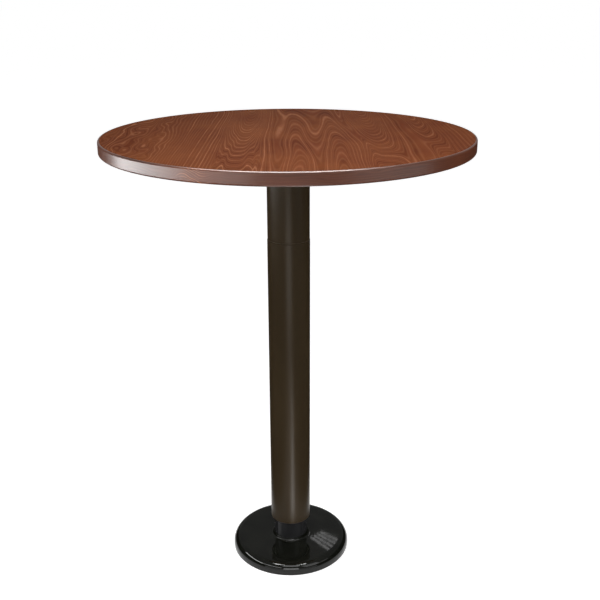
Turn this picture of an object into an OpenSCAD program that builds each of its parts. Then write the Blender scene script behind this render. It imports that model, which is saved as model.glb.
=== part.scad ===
// Bolt-down dining table: a round veneered top on a cast spider, a two-piece tube column
// pulled down by a tie rod, and a post on a floor plate that a lift-up dished cover hides.

/* [Table] */
// Height of the table from the floor to its top face
table_h = 770; // [700:5:1050]

/* [Top] */
// Diameter of the table top
top_d = 600; // [520:10:900]
// Thickness of the table top
top_t = 20; // [18:1:32]
// Thickness of the veneer on the face and on the back
veneer_t = 0.8; // [0.5:0.1:1.5]
// Thickness of the wooden lipping round the edge
lipping_t = 3; // [3:0.5:6]
// Radius of the rounded arrises of the lipping
arris_r = 2.5; // [1:0.25:2.75]

/* [Spider] */
// Reach of each arm, from the column's axis to the centre of its round end
arm_reach = 150; // [120:5:200]
// Width of an arm where it leaves the hub
arm_root_w = 46; // [40:1:56]
// Width of an arm at its round end
arm_tip_w = 28; // [26:1:34]
// Thickness of the flat web that bears on the top
arm_web_t = 5; // [4:0.5:7]
// Thickness of the ribs along an arm's edges
rib_t = 5; // [4:0.5:6]
// Depth of the ribs at the hub, below the web
rib_root_d = 17; // [12:1:19]
// Depth of the ribs at the arm's end, below the web
rib_tip_d = 4; // [2:0.5:8]
// Depth that the column enters the hub
socket_d = 10; // [6:1:14]
// Thickness of the hub's floor between the column and the tie rod's washer
hub_floor_t = 6; // [5:1:10]
// Wall of the hub round the column
hub_wall = 6; // [4:0.5:10]
// Width that the hub gains towards the top, for the casting's draft
hub_draft = 2; // [1:0.5:3]
// Radius of the fillet between the hub and the web
hub_fillet_r = 6; // [4:1:9]
// Width of the web beyond that fillet, between two arms
web_ledge = 1.5; // [1:0.5:6]

/* [Column] */
// Outer diameter of the lower tube
lower_od = 72; // [70:1:90]
// Wall of the lower tube
lower_wall = 2; // [1.5:0.25:2.5]
// Outer diameter of the upper tube
upper_od = 71; // [70:0.5:90]
// Length of the upper tube
upper_len = 136; // [120:2:330]
// Chamfer on the tubes' ends at the seam and at the lower tube's open end
tube_chamfer = 0.6; // [0.3:0.1:1]
// Height of the lower tube's open end above the floor
skirt_z = 60; // [50:1:90]
// Length of the coupling inside each tube
coupling_len = 55; // [30:5:100]
// Wall of the coupling
coupling_wall = 3; // [2:0.5:5]
// Thickness of the coupling's shoulder between the two tubes
shoulder_t = 1; // [0.5:0.25:2]
// Thickness of the bulkhead welded into the lower tube
bulkhead_t = 6; // [4:1:12]
// Height of the nylon guide ring between the post and the lower tube
guide_h = 20; // [12:1:40]
// Depth of the guide ring inside the lower tube's open end
guide_inset = 4; // [2:1:12]
// Nominal diameter of the tie rod
rod_d = 12; // [10:1:14]

/* [Base] */
// Outer diameter of the post
post_od = 60; // [54:1:63]
// Wall of the post
post_wall = 3; // [2:0.5:5]
// Height of the post's top above the floor
post_top_z = 170; // [140:5:260]
// Leg of the weld fillet round the foot of the post
weld_leg = 5; // [3:0.5:7]
// Diameter of the floor plate
plate_d = 180; // [170:2:190]
// Thickness of the floor plate
plate_t = 6; // [5:0.5:8]
// Pitch circle of the anchor holes
anchor_pcd = 140; // [124:2:150]
// Diameter of the anchor holes
anchor_hole_d = 11; // [9:0.5:14]
// Number of anchor holes
anchor_count = 4; // [3:1:6]

/* [Floor cover] */
// Diameter of the floor cover
cover_d = 214; // [208:2:260]
// Height of the cover's flat top above the floor
cover_h = 20; // [18:1:26]
// Radius of the cover's rounded shoulder
cover_shoulder_r = 14; // [8:1:16]
// Thickness of the cover's sheet
cover_t = 1.2; // [0.8:0.1:2]
// Height of the upturned lip above the cover's flat top
lip_h = 6; // [5:0.5:9]
// Radius of the sweep from the flat top into the lip
lip_sweep_r = 4; // [2:0.5:4.5]

/* [Screws] */
// Nominal diameter of the screws that hold the top
screw_d = 6; // [5:0.5:7]
// Length of those screws under the head
screw_len = 18; // [14:1:20]
// Distance from the axis to the inner screw of each arm
inner_screw_r = 98; // [90:1:104]
// Length of the threaded inserts in the top
insert_len = 13; // [10:1:14]

/* [Hidden] */
$fn = 96;

// Clearances
slip = 0.1;            // a plug in a tube, or a rod in its nut
loose = 0.4;           // a screw or a rod in a plain hole, and the cover round the post
over = 1;              // how far a cutter runs past the face that it cuts

// Tie rod hardware, in the proportions of a common metric nut and washer
rod_r = rod_d / 2;
rod_nut_af = rod_d * 1.58;
rod_nut_h = rod_d * 0.5;
anchor_nut_h = rod_d * 0.85;
rod_washer_r = rod_d;
rod_washer_t = rod_d * 0.2;
rod_chamfer = rod_d * 0.1;
rod_stand = 1.5;                         // thread that shows above the upper nut
rod_room = 2;                            // room between the rod's end and the top

// The hub's pocket holds the washer, the nut and the rod's end
nut_pocket_r = rod_nut_af * 1.3;
nut_pocket_d = rod_washer_t + rod_nut_h + rod_stand + rod_room;

// Levels, from the top down
under_z = table_h - top_t;               // underside of the top
web_z = under_z - arm_web_t;             // underside of the spider's arms
hub_floor_z = under_z - nut_pocket_d;    // where the tie rod's washer bears
column_top_z = hub_floor_z - hub_floor_t;
hub_z = column_top_z - socket_d;         // lower edge of the hub
seam_z = column_top_z - upper_len - shoulder_t;

// Radii of the top, the column, the hub and the base
core_r = top_d / 2 - lipping_t;
bore_r = lower_od / 2 - lower_wall;      // both tubes share this bore
hub_socket_r = upper_od / 2 + slip;
hub_r = hub_socket_r + hub_wall;
hub_top_r = hub_r + hub_draft;
hub_chamfer = 1.5;
post_r = post_od / 2;

// Ring that stands down from the hub into the upper tube
hub_plug_len = 14;
hub_plug_t = 5;

// Between two arms the web's edge is a concave arc. It runs into both arms' tapered edges
// at a slight angle, as deep as web_arc_bite
web_arc_bite = 0.4;
arm_taper = atan((arm_root_w - arm_tip_w) / 2 / arm_reach);
web_reach = hub_top_r + hub_fillet_r + web_ledge;
web_arc_r = (web_reach * cos(45 - arm_taper) - arm_root_w / 2 * cos(arm_taper) + web_arc_bite)
    / (1 - cos(45 - arm_taper));
web_arc_xy = (web_reach + web_arc_r) / sqrt(2);

// Screws, washers and inserts under the top, in the proportions of a button-head screw
arm_angles = [45, 135, 225, 315];
screw_r = screw_d / 2;
screw_head_r = screw_d * 0.92;
screw_head_h = screw_d * 0.55;
screw_socket_af = screw_d * 0.67;
screw_socket_d = screw_head_h * 0.6;
screw_washer_r = screw_d * 1.08;
screw_washer_t = screw_d * 0.2;
pad_t = 1.5;                             // raised pad round each screw hole of the spider
pad_r = screw_washer_r + 1;
insert_r = screw_d * 0.8;
insert_flange_r = screw_d;
insert_flange_t = 1;
screw_seat_z = web_z - pad_t - screw_washer_t;

// Edges of the floor plate
plate_chamfer = 1;

// Lip of the floor cover round the post
lip_in_r = post_r + loose;
lip_out_r = lip_in_r + cover_t;

// Puts its children at both screw holes of every arm, with +X along the arm
module at_screws() {
    for (a = arm_angles, r = [inner_screw_r, arm_reach])
        rotate([0, 0, a]) translate([r, 0, 0]) children();
}

// A plain ring or tube with both ends square
module ring(r_out, r_in, z0, z1) {
    translate([0, 0, z0]) difference() {
        cylinder(r = r_out, h = z1 - z0);
        translate([0, 0, -over]) cylinder(r = r_in, h = z1 - z0 + 2 * over);
    }
}

// A tube whose lower and upper outer edges are chamfered by the amounts given
module column_tube(r_out, z0, z1, low_chamfer, high_chamfer) {
    rotate_extrude() polygon([[bore_r, z0], [r_out - low_chamfer, z0], [r_out, z0 + low_chamfer],
        [r_out, z1 - high_chamfer], [r_out - high_chamfer, z1], [bore_r, z1]]);
}

// A hexagonal nut whose corners are chamfered at 30 degrees on the upper face
module hex_nut(af, h, r_in) {
    corner_r = af / sqrt(3);
    face_r = 0.46 * af;
    chamfer_h = (corner_r - face_r) * tan(30);
    difference() {
        intersection() {
            cylinder(r = corner_r, h = h, $fn = 6);
            rotate_extrude() polygon([[0, 0], [corner_r, 0], [corner_r, h - chamfer_h],
                [face_r, h], [0, h]]);
        }
        translate([0, 0, -over]) cylinder(r = r_in, h = h + 2 * over);
    }
}

// Lipping in section: a strip whose two outer corners are rounded
module lipping_section() {
    intersection() {
        union() {
            square([lipping_t - arris_r, top_t]);
            translate([0, arris_r]) square([lipping_t, top_t - 2 * arris_r]);
            for (z = [arris_r, top_t - arris_r])
                translate([lipping_t - arris_r, z]) circle(r = arris_r);
        }
        square([lipping_t, top_t]);
    }
}

module edge_lipping() {
    color("saddlebrown") translate([0, 0, under_z]) rotate_extrude()
        translate([core_r, 0]) lipping_section();
}

module face_veneer() {
    color("sienna") translate([0, 0, table_h - veneer_t]) cylinder(r = core_r, h = veneer_t);
}

module backing_veneer() {
    color("peru") translate([0, 0, under_z]) difference() {
        cylinder(r = core_r, h = veneer_t);
        at_screws() translate([0, 0, -over]) cylinder(r = insert_flange_r, h = veneer_t + 2 * over);
    }
}

// The core is drilled for the inserts, each hole with a seat for the insert's flange
module top_core() {
    color("burlywood") difference() {
        translate([0, 0, under_z + veneer_t]) cylinder(r = core_r, h = top_t - 2 * veneer_t);
        at_screws() translate([0, 0, under_z]) {
            cylinder(r = insert_r, h = insert_len + over);
            cylinder(r = insert_flange_r, h = insert_flange_t);
        }
    }
}

module threaded_inserts() {
    color("goldenrod") at_screws() translate([0, 0, under_z]) difference() {
        union() {
            cylinder(r = insert_r, h = insert_len);
            cylinder(r = insert_flange_r, h = insert_flange_t);
        }
        translate([0, 0, -over]) cylinder(r = screw_r + slip, h = insert_len + 2 * over);
    }
}

// Hub in section: the socket for the column below, the pocket for the nut above, the plug
// ring that centres the column, and a fillet up to the web
module hub_section() {
    difference() {
        union() {
            polygon([[0, hub_z], [hub_r - hub_chamfer, hub_z], [hub_r, hub_z + hub_chamfer],
                [hub_top_r, web_z - hub_fillet_r], [hub_top_r, under_z], [0, under_z]]);
            translate([hub_top_r, web_z - hub_fillet_r]) difference() {
                square(hub_fillet_r);
                translate([hub_fillet_r, 0]) circle(r = hub_fillet_r);
            }
        }
        square([hub_socket_r, column_top_z]);
        translate([0, hub_floor_z]) square([nut_pocket_r, nut_pocket_d + over]);
    }
    translate([bore_r - slip - hub_plug_t, column_top_z - hub_plug_len])
        square([hub_plug_t, hub_plug_len]);
}

// Outline of the arm along +X, tapered and round at its end, drawn in by inset all round
module arm_outline(inset) {
    root_y = arm_root_w / 2 - inset;
    tip_y = arm_tip_w / 2 - inset;
    polygon([[0, -root_y], [arm_reach, -tip_y], [arm_reach, tip_y], [0, root_y]]);
    translate([arm_reach, 0]) circle(r = tip_y);
}

// The ribs follow the arm's outline and get shallower from the hub to the arm's end
module arm_ribs() {
    rib_start = hub_r - hub_wall / 2;
    rib_end = arm_reach + arm_tip_w;
    rib_top_z = web_z + arm_web_t / 2;
    intersection() {
        translate([0, 0, web_z - rib_root_d])
            linear_extrude(height = rib_root_d + arm_web_t / 2) difference() {
                arm_outline(0);
                arm_outline(rib_t);
            }
        rotate([90, 0, 0]) linear_extrude(height = 2 * arm_root_w, center = true)
            polygon([[rib_start, web_z - rib_root_d], [arm_reach, web_z - rib_tip_d],
                [rib_end, web_z - rib_tip_d], [rib_end, rib_top_z], [rib_start, rib_top_z]]);
    }
}

// The middle of the web: a square that loses a round bite at each corner, between the arms
module web_middle() {
    difference() {
        square(2 * web_arc_xy, center = true);
        for (x = [-1, 1], y = [-1, 1])
            translate([x * web_arc_xy, y * web_arc_xy]) circle(r = web_arc_r);
    }
}

module spider() {
    color("dimgray") difference() {
        union() {
            rotate_extrude() hub_section();
            translate([0, 0, web_z]) linear_extrude(height = arm_web_t) difference() {
                union() {
                    for (a = arm_angles) rotate([0, 0, a]) arm_outline(0);
                    rotate([0, 0, arm_angles[0]]) web_middle();
                }
                circle(r = hub_r);
            }
            for (a = arm_angles) rotate([0, 0, a]) arm_ribs();
            at_screws() translate([0, 0, web_z - pad_t]) cylinder(r = pad_r, h = pad_t + arm_web_t / 2);
        }
        translate([0, 0, column_top_z - over])
            cylinder(r = rod_r + loose, h = hub_floor_t + 2 * over);
        at_screws() translate([0, 0, web_z - pad_t - over])
            cylinder(r = screw_r + loose, h = arm_web_t + pad_t + 2 * over);
    }
}

// Button head in section, with its outer edge rounded; the seat is at height 0
module screw_head_section() {
    round_x = screw_head_r - screw_head_h;
    difference() {
        translate([0, -screw_head_h]) square([screw_head_r, screw_head_h]);
        difference() {
            translate([round_x, -screw_head_h]) square(screw_head_h);
            translate([round_x, 0]) circle(r = screw_head_h);
        }
    }
}

// Screws with a hexagon socket, driven up through the arms
module spider_screws() {
    color("silver") at_screws() translate([0, 0, screw_seat_z]) difference() {
        union() {
            cylinder(r = screw_r, h = screw_len);
            rotate_extrude() screw_head_section();
        }
        translate([0, 0, -screw_head_h - over])
            cylinder(r = screw_socket_af / sqrt(3), h = screw_socket_d + over, $fn = 6);
    }
}

module spider_washers() {
    color("silver") at_screws()
        ring(screw_washer_r, screw_r + loose, screw_seat_z, screw_seat_z + screw_washer_t);
}

module upper_tube() {
    color([0.24, 0.21, 0.17])
        column_tube(upper_od / 2, seam_z + shoulder_t, column_top_z, tube_chamfer, 0);
}

// The coupling plugs both tubes, and its shoulder lies between them
module tube_coupling() {
    plug_r = bore_r - slip;
    shoulder_out_r = min(lower_od, upper_od) / 2 - tube_chamfer / 2;
    color("gray") difference() {
        union() {
            translate([0, 0, seam_z - coupling_len])
                cylinder(r = plug_r, h = 2 * coupling_len + shoulder_t);
            translate([0, 0, seam_z]) cylinder(r = shoulder_out_r, h = shoulder_t);
        }
        translate([0, 0, seam_z - coupling_len - over])
            cylinder(r = plug_r - coupling_wall, h = 2 * (coupling_len + over) + shoulder_t);
    }
}

module lower_tube() {
    color([0.24, 0.21, 0.17])
        column_tube(lower_od / 2, skirt_z, seam_z, tube_chamfer, tube_chamfer);
}

// The bulkhead is welded into the lower tube and stands on the post
module column_bulkhead() {
    color("gray") ring(bore_r, rod_r + loose, post_top_z, post_top_z + bulkhead_t);
}

// The guide ring grips the post and centres the lower tube round it
module guide_ring() {
    guide_z = skirt_z + guide_inset;
    color("whitesmoke") ring(bore_r - slip, post_r, guide_z, guide_z + guide_h);
}

// The rod stands on the floor plate, inside the nut that is welded there
module tie_rod() {
    rod_top_z = hub_floor_z + rod_washer_t + rod_nut_h + rod_stand;
    color("silver") rotate_extrude()
        polygon([[0, plate_t], [rod_r - rod_chamfer, plate_t], [rod_r, plate_t + rod_chamfer],
            [rod_r, rod_top_z - rod_chamfer], [rod_r - rod_chamfer, rod_top_z], [0, rod_top_z]]);
}

module tie_rod_washer() {
    color("silver")
        ring(rod_washer_r, rod_r + loose, hub_floor_z, hub_floor_z + rod_washer_t);
}

module tie_rod_nut() {
    color("silver") translate([0, 0, hub_floor_z + rod_washer_t])
        hex_nut(rod_nut_af, rod_nut_h, rod_r + slip);
}

module rod_anchor_nut() {
    color("dimgray") translate([0, 0, plate_t]) hex_nut(rod_nut_af, anchor_nut_h, rod_r + slip);
}

module base_post() {
    color([0.05, 0.05, 0.05]) ring(post_r, post_r - post_wall, plate_t, post_top_z);
}

// Concave bead in the corner between the post and the plate
module post_weld() {
    color("dimgray") rotate_extrude() difference() {
        translate([post_r, plate_t]) square(weld_leg);
        translate([post_r + weld_leg, plate_t + weld_leg]) circle(r = weld_leg);
    }
}

module floor_plate() {
    color("dimgray") difference() {
        rotate_extrude() polygon([[0, 0], [plate_d / 2, 0], [plate_d / 2, plate_t - plate_chamfer],
            [plate_d / 2 - plate_chamfer, plate_t], [0, plate_t]]);
        for (i = [0 : anchor_count - 1])
            rotate([0, 0, (i + 0.5) * 360 / anchor_count]) translate([anchor_pcd / 2, 0, -over])
                cylinder(r = anchor_hole_d / 2, h = plate_t + 2 * over);
    }
}

// The region under one face of the cover's sheet. inset is 0 for the outer face and
// cover_t for the inner face; lip_r is the lip's radius on that face
module cover_region(inset, lip_r) {
    flat_r = cover_d / 2 - cover_shoulder_r;
    flat_z = cover_h - inset;
    sweep_x = lip_out_r + lip_sweep_r;
    sweep_z = cover_h + lip_sweep_r;
    square([flat_r, flat_z]);
    square([cover_d / 2 - inset, cover_h - cover_shoulder_r]);
    translate([flat_r, cover_h - cover_shoulder_r]) intersection() {
        circle(r = cover_shoulder_r - inset);
        square(cover_shoulder_r);
    }
    square([lip_r, cover_h + lip_h]);
    difference() {
        translate([lip_r, flat_z]) square([sweep_x - lip_r, sweep_z - flat_z]);
        translate([sweep_x, sweep_z]) circle(r = lip_sweep_r + inset);
    }
}

// The cover rests on the floor and lifts along the post until its lip meets the guide ring
module floor_cover() {
    color([0.05, 0.05, 0.05]) rotate_extrude() difference() {
        cover_region(0, lip_out_r);
        cover_region(cover_t, lip_in_r);
        square([lip_in_r, cover_h + lip_h + over]);
    }
}

edge_lipping();
face_veneer();
top_core();
backing_veneer();
threaded_inserts();
spider();
spider_screws();
spider_washers();
upper_tube();
tube_coupling();
lower_tube();
column_bulkhead();
guide_ring();
tie_rod();
tie_rod_nut();
tie_rod_washer();
rod_anchor_nut();
base_post();
post_weld();
floor_plate();
floor_cover();
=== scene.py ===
# %% [markdown]
# # A bolt-down dining table, dressed around its own construction
#
# The table is already built as a set of exact solids: a veneered round top, a cast spider under it,
# a two-piece tube column and a floor base under a lift-up cover. This lesson gives each piece its
# finish, and remodels those whose surface says how they were made or draws a line of light: the
# lipping, the cover, the weld, the screws, the rod and the cast arms. Nothing is moved or resized.
#
# Everything is in metres, with the floor at height 0, the column on the Z axis and the front of the
# table towards -Y.

# %% Load the construction
import math

import bmesh
import bpy
from mathutils import Matrix, Vector


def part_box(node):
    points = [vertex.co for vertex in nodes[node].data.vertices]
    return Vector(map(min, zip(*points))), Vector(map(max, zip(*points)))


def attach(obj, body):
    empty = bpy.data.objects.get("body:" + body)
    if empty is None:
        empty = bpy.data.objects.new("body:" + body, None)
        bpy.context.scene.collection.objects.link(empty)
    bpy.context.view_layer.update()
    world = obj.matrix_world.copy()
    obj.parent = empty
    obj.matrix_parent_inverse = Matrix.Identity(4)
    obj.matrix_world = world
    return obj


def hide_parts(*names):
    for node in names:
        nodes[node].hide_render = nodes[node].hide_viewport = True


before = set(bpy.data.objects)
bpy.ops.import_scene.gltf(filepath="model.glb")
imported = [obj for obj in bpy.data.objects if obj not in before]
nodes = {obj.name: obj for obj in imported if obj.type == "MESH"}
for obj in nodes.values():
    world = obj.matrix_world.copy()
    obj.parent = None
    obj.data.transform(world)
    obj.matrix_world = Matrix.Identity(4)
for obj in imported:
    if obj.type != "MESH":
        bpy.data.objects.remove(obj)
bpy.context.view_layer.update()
print("pieces of the construction:", len(nodes))

# %% [markdown]
# ## The camera
#
# A photograph of a round table gives its camera away: the top, the column's ends and the cover
# are all circles round one axis, so the shapes of their ellipses fix the height, the distance and
# the tilt. The lens is a normal one, a little long. The camera could also be parented to a
# target, but a place, a lens and three angles are easier to check.

# %% Camera
CAMERA_SPOT = (0.0, -1.4176, 1.0003)
CAMERA_LENS = 52.701
SENSOR_WIDTH = 36.0
TILT_DOWN = math.radians(19.941)
TURN_RIGHT = math.radians(0.756)
ROLL = math.radians(-0.176)


def add_object(name, data):
    """Adds an object to the scene, at the origin."""
    thing = bpy.data.objects.new(name, data)
    bpy.context.collection.objects.link(thing)
    return thing


camera_data = bpy.data.cameras.new("studio_camera")
camera_data.lens = CAMERA_LENS
camera_data.sensor_width = SENSOR_WIDTH
camera = add_object("studio_camera", camera_data)
camera.matrix_world = (
    Matrix.Translation(CAMERA_SPOT)
    @ Matrix.Rotation(-TURN_RIGHT, 4, "Z")
    @ Matrix.Rotation(math.pi / 2 - TILT_DOWN, 4, "X")
    @ Matrix.Rotation(ROLL, 4, "Z")
)
bpy.context.scene.camera = camera
bpy.context.scene.view_settings.view_transform = "Standard"
print("camera", round(CAMERA_LENS, 1), "mm,", round(-CAMERA_SPOT[1], 2), "m in front of the column")

# %% [markdown]
# ## Small helpers for node trees
#
# Materials and Geometry Nodes are both trees of nodes joined by sockets, so the same helpers build
# either. `feed` links a socket when it is given another socket, and otherwise sets it to a plain
# value, and `put` adds a node. The rest are steps that come up again and again: arithmetic, carrying
# a value from one range to another, and taking a place apart. A socket knows the tree that it
# belongs to, so these steps need not be told, and a recipe reads like a list.

# %% Helpers for node trees
def feed(socket, value):
    """Links a socket to another one, or sets it to a plain value."""
    if isinstance(value, bpy.types.NodeSocket):
        socket.id_data.links.new(value, socket)
    else:
        socket.default_value = value


def tree_of(*values):
    """The tree of the sockets among some values."""
    return next(value.id_data for value in values if isinstance(value, bpy.types.NodeSocket))


def put(tree, kind, inputs=None, **settings):
    """Adds a node with its settings and its inputs, by name or by number."""
    node = tree.nodes.new(kind)
    for name, value in settings.items():
        setattr(node, name, value)
    for key, value in (inputs or {}).items():
        feed(node.inputs[key], value)
    return node


def maths(operation, *values):
    """One step of arithmetic on numbers or sockets."""
    node = put(tree_of(*values), "ShaderNodeMath", operation=operation)
    for socket, value in zip(node.inputs, values):
        feed(socket, value)
    return node.outputs[0]


def plus(first, second):
    """The sum of two numbers or sockets."""
    return maths("ADD", first, second)


def minus(first, second):
    """The first number or socket less the second."""
    return maths("SUBTRACT", first, second)


def times(first, second):
    """The product of two numbers or sockets."""
    return maths("MULTIPLY", first, second)


def span(value, low, high, to_low=0.0, to_high=1.0):
    """Carries a value from one range to another, and stops at the ends."""
    inputs = {"Value": value, "From Min": low, "From Max": high, "To Min": to_low, "To Max": to_high}
    return put(value.id_data, "ShaderNodeMapRange", inputs).outputs["Result"]


def coordinates(place):
    """The three coordinates of a place or a direction."""
    return put(place.id_data, "ShaderNodeSeparateXYZ", {0: place}).outputs


def place_at(tree, x=0.0, y=0.0, z=0.0):
    """A place or a direction from three numbers or sockets."""
    return put(tree, "ShaderNodeCombineXYZ", {0: x, 1: y, 2: z}).outputs[0]


print("helpers for node trees are ready")

# %% [markdown]
# ## Helpers for finishes
#
# Every finish starts from Object coordinates, which are real metres on these pieces, so a grain of
# 3 mm is written as 0.003. Noise is the raw material of a surface: stretched along the grain it is
# wood fibre, at half a millimetre it is the skin of a powder coat, at a few centimetres it is a
# slow change of tone. A shift moves it along, so that two noises on one piece differ.

# %% Helpers for finishes
def new_finish(name):
    """Starts a material, and gives it with the place on the piece."""
    finish = bpy.data.materials.new(name)
    finish.use_nodes = True
    return finish, put(finish.node_tree, "ShaderNodeTexCoord").outputs["Object"]


def noise(place, size, detail=2.0, shift=0.0):
    """Noise from 0 to 1 whose blobs are about as long as size, in metres, on each axis."""
    tree = place.id_data
    move = {"Vector": place, "Location": [shift] * 3, "Scale": [1 / length for length in size]}
    spread = put(tree, "ShaderNodeMapping", move)
    inputs = {"Vector": spread.outputs[0], "Scale": 1.0, "Detail": detail}
    return put(tree, "ShaderNodeTexNoise", inputs).outputs["Fac"]


def sway(place, size, reach, detail=1.0, shift=0.0):
    """Noise that goes to both sides of zero, by up to reach."""
    return span(noise(place, size, detail, shift), 0.2, 0.8, -reach, reach)


def colour(red, green, blue):
    """A colour in the linear values that shaders use."""
    return (red, green, blue, 1.0)


def blend(amount, low, high, way="MIX"):
    """Mixes two colours."""
    node = put(tree_of(amount, low, high), "ShaderNodeMix", data_type="RGBA", blend_type=way)
    for number, value in ((0, amount), (6, low), (7, high)):
        feed(node.inputs[number], value)
    return node.outputs[2]


def shade(tone, amount):
    """Makes a colour darker or lighter by a factor."""
    greys = {0: amount, 1: amount, 2: amount}
    grey = put(tone.id_data, "ShaderNodeCombineColor", greys).outputs[0]
    return blend(1.0, tone, grey, "MULTIPLY")


def settle(finish, tone, roughness, gloss=0.5, relief=None, more=None):
    """Sets the looks of a finish. A relief is a height from 0 to 1 and the depth it stands for."""
    tree = finish.node_tree
    looks = {"Base Color": tone, "Roughness": roughness, "Specular IOR Level": gloss}
    if relief:
        bump = {"Height": relief[0], "Distance": relief[1], "Strength": 1.0}
        looks["Normal"] = put(tree, "ShaderNodeBump", bump).outputs[0]
    for name, value in (looks | (more or {})).items():
        feed(tree.nodes["Principled BSDF"].inputs[name], value)
    return finish


def dress(finish, *names):
    """Gives a finish to pieces of the construction."""
    for name in names:
        nodes[name].material_slots[0].material = finish
    print(finish.name, "on", ", ".join(names))


print("helpers for finishes are ready")

# %% [markdown]
# ## The floor
#
# A product picture on white is made on a sweep of pale paper under large soft lamps. Here the paper
# is a wide pale disc. It could be all glow, but then the table would seem to float. This floor
# mixes a little glow into its lit colour, so that it reads as white and still keeps the table's
# shadow.

# %% Floor
FLOOR_RADIUS = 40.0
FLOOR_SIDES = 64
FLOOR_TONE = 0.8
FLOOR_GLOW = 0.6
WHITE = colour(1.0, 1.0, 1.0)


def seen_directly(tree):
    """1 for rays of the camera, of reflections and of glass, and 0 for light that bounces."""
    path = put(tree, "ShaderNodeLightPath")
    seen = maths("MAXIMUM", path.outputs["Is Camera Ray"], path.outputs["Is Glossy Ray"])
    return maths("MAXIMUM", seen, path.outputs["Is Transmission Ray"])


def make_floor():
    """A pale disc that the table stands on."""
    ring = []
    for side in range(FLOOR_SIDES):
        angle = 2 * math.pi * side / FLOOR_SIDES
        ring.append((FLOOR_RADIUS * math.cos(angle), FLOOR_RADIUS * math.sin(angle), 0.0))
    mesh = bpy.data.meshes.new("studio_floor")
    mesh.from_pydata(ring, [], [list(range(FLOOR_SIDES))])
    floor = add_object("studio_floor", mesh)
    finish, _ = new_finish("pale_floor")
    glow = times(seen_directly(finish.node_tree), FLOOR_GLOW)
    glowing = {"Emission Color": WHITE, "Emission Strength": glow}
    tone = colour(FLOOR_TONE, FLOOR_TONE, FLOOR_TONE)
    mesh.materials.append(settle(finish, tone, roughness=1.0, gloss=0.0, more=glowing))


make_floor()
print("floor", 2 * FLOOR_RADIUS, "m across")

# %% [markdown]
# ## The world
#
# The world is white to look at. Metal and glass mirror that white too, up to a little above the
# horizon, and over it the dim ceiling of a studio. As light on the table it is only a soft grey
# room, so that the lamps do the modelling.

# %% World
ROOM_LIGHT = 0.5
PAPER_TOP = math.radians(8)
CEILING_EDGE = math.radians(22)
CEILING_TONE = 0.22


def make_world():
    """White paper with a dim ceiling over it to look at, and a soft grey as light."""
    world = bpy.data.worlds.new("studio_world")
    world.use_nodes = True
    tree = world.node_tree
    direction = put(tree, "ShaderNodeTexCoord").outputs["Generated"]
    upwards = coordinates(direction)[2]
    mirrored = span(upwards, math.sin(PAPER_TOP), math.sin(CEILING_EDGE), 1.0, CEILING_TONE)
    camera_ray = put(tree, "ShaderNodeLightPath").outputs["Is Camera Ray"]
    sight = maths("MAXIMUM", mirrored, camera_ray)
    seen = seen_directly(tree)
    soft_light = times(minus(1.0, seen), ROOM_LIGHT)
    strength = maths("MULTIPLY_ADD", seen, sight, soft_light)
    background = tree.nodes["Background"]
    background.inputs["Color"].default_value = WHITE
    feed(background.inputs["Strength"], strength)
    bpy.context.scene.world = world


make_world()
print("the world lights the table with", ROOM_LIGHT)

# %% [markdown]
# ## Black cloths for the reflections
#
# The picture is a cut-out, and its dark edges on the column and the base say that the studio was
# dark at the sides. Photographers get that with black cloths, laid on the floor and hung at the
# sides and at the back, just out of the picture. They draw the edges of anything glossy. Here each
# cloth is a flat panel that only reflections see.

# %% Black cloths
CLOTH_LIFT = 0.004
CLOTHS = {
    "laid_left": ((-9.0, -1.0, CLOTH_LIFT), (-0.15, 12.0, CLOTH_LIFT)),
    "laid_right": ((0.15, -1.0, CLOTH_LIFT), (9.0, 12.0, CLOTH_LIFT)),
    "laid_front": ((-9.0, -9.0, CLOTH_LIFT), (9.0, -1.0, CLOTH_LIFT)),
    "hung_left": ((-1.8, -1.6, 0.0), (-1.8, 4.5, 1.25)),
    "hung_right": ((1.8, -1.6, 0.0), (1.8, 4.5, 1.25)),
    "back_left": ((-9.0, 8.0, 0.0), (-1.0, 8.0, 2.2)),
    "back_right": ((1.0, 8.0, 0.0), (9.0, 8.0, 2.2)),
}

CLOTH_TONE = colour(0.012, 0.011, 0.010)
black_cloth = settle(new_finish("black_cloth")[0], CLOTH_TONE, roughness=1.0, gloss=0.0)


def make_cloth(name, low, high):
    """A black panel between two corners that only reflections see."""
    if low[2] == high[2]:
        corners = [low, (high[0], low[1], low[2]), high, (low[0], high[1], low[2])]
    else:
        corners = [low, (high[0], high[1], low[2]), high, (low[0], low[1], high[2])]
    mesh = bpy.data.meshes.new(name)
    mesh.from_pydata(corners, [], [(0, 1, 2, 3)])
    mesh.materials.append(black_cloth)
    cloth = add_object(name, mesh)
    for sight in ("visible_camera", "visible_diffuse", "visible_transmission", "visible_shadow"):
        setattr(cloth, sight, False)


for cloth_name, cloth_sides in CLOTHS.items():
    make_cloth(cloth_name, *cloth_sides)
print("cloths", ", ".join(CLOTHS))

# %% [markdown]
# ## The lamps
#
# Satin wood and gloss enamel show the lamps as much as they show themselves. The bright streak on
# the left of the table's edge is two long low windows of light, and a dimmer one lights its right.
# The line along the arris is a bright card high above the table, and the soft line down the column
# is two strips in front of it, one standing and one lying. A lamp that is there only for its
# reflection lights nothing, and the fill on the right is not mirrored. Each lamp is written by its
# place, its target, its width, its height and its brightness, and the power follows from the size.

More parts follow.
